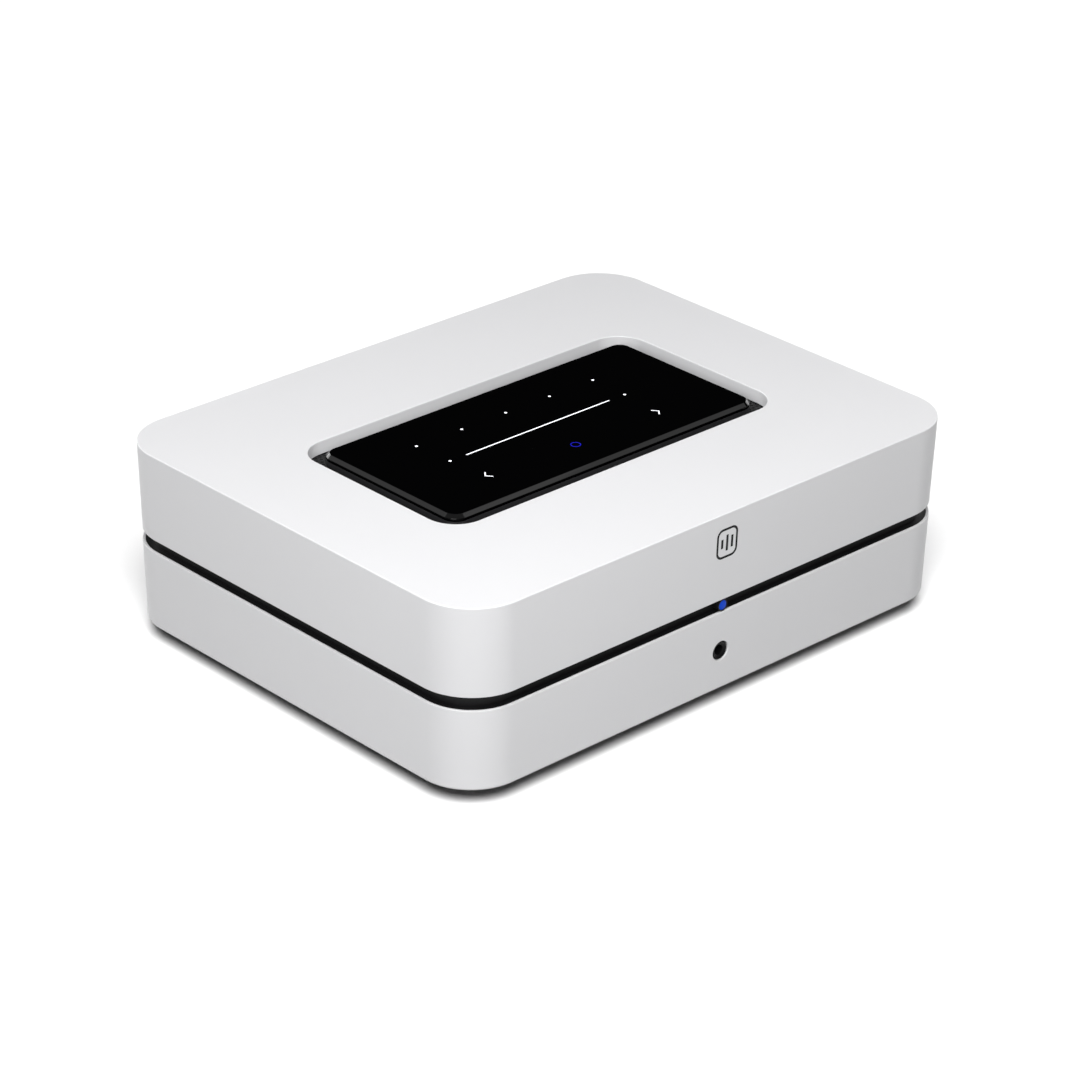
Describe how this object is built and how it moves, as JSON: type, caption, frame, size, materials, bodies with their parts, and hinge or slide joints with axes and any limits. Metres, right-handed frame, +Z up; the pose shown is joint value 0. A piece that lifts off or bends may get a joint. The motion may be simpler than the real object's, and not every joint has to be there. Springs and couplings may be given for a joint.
{
  "type": "bluetooth audio receiver",
  "caption": "Desktop streaming audio receiver: two white rounded shells on a black middle frame, a glass touch panel in a vented well, and speaker posts and sockets behind.",
  "frame": {"origin": "on the surface that the feet stand on, under the middle of the whole object's outline, rear posts included", "axes": "+X to the right as seen from the front, +Y to the rear, where the sockets are, +Z up"},
  "size_m": [0.22, 0.19, 0.07],
  "materials": {
    "white_shell": "satin white paint",
    "frame_plastic": "satin black",
    "black_plastic": "fine matt black",
    "black_metal": "black powder coat",
    "black_glass": "polished, black behind",
    "rubber": "matt",
    "steel": "nickel plate",
    "gold_plate": "gold plate",
    "red_plastic": "red grip",
    "aluminium": "extruded",
    "circuit_board": "green solder mask",
    "ferrite": "ferrite core and tape",
    "copper_wire": "enamelled wire",
    "ribbon_film": "flat cable",
    "light_pipe": "lit blue"
  },
  "bodies": {
    "case": {"upper_shell": "white_shell", "lower_shell": "white_shell", "mid_frame": "frame_plastic", "rear_panel": "black_plastic", "base_plate": "black_metal", "vent_grille": "black_metal", "touch_glass": "black_glass", "touch_tray": "black_plastic", "touch_board": "circuit_board", "light_mask": "black_plastic", "touch_ribbon": "ribbon_film", "headphone_socket": "black_plastic", "status_light_pipe": "light_pipe", "front_board": "circuit_board", "post_block": "black_plastic", "switch_body": "black_plastic", "ac_inlet": "black_plastic", "ac_pin_line": "steel", "ac_pin_neutral": "steel", "sub_out_jack": "gold_plate", "lan_jack": "steel", "usb_port": "steel", "hdmi_port": "steel", "line_in_jack": "black_plastic", "ir_in_jack": "black_plastic", "main_board": "circuit_board", "streamer_module": "circuit_board", "amp_board": "circuit_board", "psu_board": "circuit_board", "heat_sink": "aluminium", "transformer": "ferrite", "foot_front_left": "rubber", "case_screw_front_left": "steel", "foot_front_right": "rubber", "case_screw_front_right": "steel", "foot_rear_left": "rubber", "case_screw_rear_left": "steel", "foot_rear_right": "rubber", "case_screw_rear_right": "steel", "post_stud_right_plus": "gold_plate", "post_stud_right_minus": "gold_plate", "post_stud_left_minus": "gold_plate", "post_stud_left_plus": "gold_plate", "output_choke_left": "copper_wire", "supply_capacitor_left": "black_plastic", "antenna_left": "circuit_board", "antenna_lead_left": "black_plastic", "output_choke_right": "copper_wire", "supply_capacitor_right": "black_plastic", "antenna_right": "circuit_board", "antenna_lead_right": "black_plastic"},
    "rocker": {"power_rocker": "black_plastic"},
    "washer_right_plus": {"post_washer_right_plus": "gold_plate"},
    "cap_right_plus": {"post_cap_right_plus": "red_plastic"},
    "washer_right_minus": {"post_washer_right_minus": "gold_plate"},
    "cap_right_minus": {"post_cap_right_minus": "black_plastic"},
    "washer_left_minus": {"post_washer_left_minus": "gold_plate"},
    "cap_left_minus": {"post_cap_left_minus": "black_plastic"},
    "washer_left_plus": {"post_washer_left_plus": "gold_plate"},
    "cap_left_plus": {"post_cap_left_plus": "red_plastic"}
  },
  "joints": [
    {"name": "power_rocker_tilt", "type": "hinge", "parent": "case", "child": "rocker", "pos_m": [0.0535, 0.07005, 0.036], "axis": [1, 0, 0], "range_deg": [0, 16]},
    {"name": "cap_travel_right_plus", "type": "slide", "parent": "case", "child": "washer_right_plus", "axis": [0, 1, 0], "range_m": [0, 0.005]},
    {"name": "cap_turn_right_plus", "type": "hinge", "parent": "washer_right_plus", "child": "cap_right_plus", "pos_m": [0.0345, 0.075, 0.036], "axis": [0, 1, 0], "range_deg": [0, 1800]},
    {"name": "cap_travel_right_minus", "type": "slide", "parent": "case", "child": "washer_right_minus", "axis": [0, 1, 0], "range_m": [0, 0.005]},
    {"name": "cap_turn_right_minus", "type": "hinge", "parent": "washer_right_minus", "child": "cap_right_minus", "pos_m": [0.01545, 0.075, 0.036], "axis": [0, 1, 0], "range_deg": [0, 1800]},
    {"name": "cap_travel_left_minus", "type": "slide", "parent": "case", "child": "washer_left_minus", "axis": [0, 1, 0], "range_m": [0, 0.005]},
    {"name": "cap_turn_left_minus", "type": "hinge", "parent": "washer_left_minus", "child": "cap_left_minus", "pos_m": [-0.0036, 0.075, 0.036], "axis": [0, 1, 0], "range_deg": [0, 1800]},
    {"name": "cap_travel_left_plus", "type": "slide", "parent": "case", "child": "washer_left_plus", "axis": [0, 1, 0], "range_m": [0, 0.005]},
    {"name": "cap_turn_left_plus", "type": "hinge", "parent": "washer_left_plus", "child": "cap_left_plus", "pos_m": [-0.02265, 0.075, 0.036], "axis": [0, 1, 0], "range_deg": [0, 1800]}
  ],
  "couplings": [
    {"joint": "cap_turn_right_plus", "follows": "cap_travel_right_plus", "rad_per_m": 6283.2},
    {"joint": "cap_turn_right_minus", "follows": "cap_travel_right_minus", "rad_per_m": 6283.2},
    {"joint": "cap_turn_left_minus", "follows": "cap_travel_left_minus", "rad_per_m": 6283.2},
    {"joint": "cap_turn_left_plus", "follows": "cap_travel_left_plus", "rad_per_m": 6283.2}
  ]
}
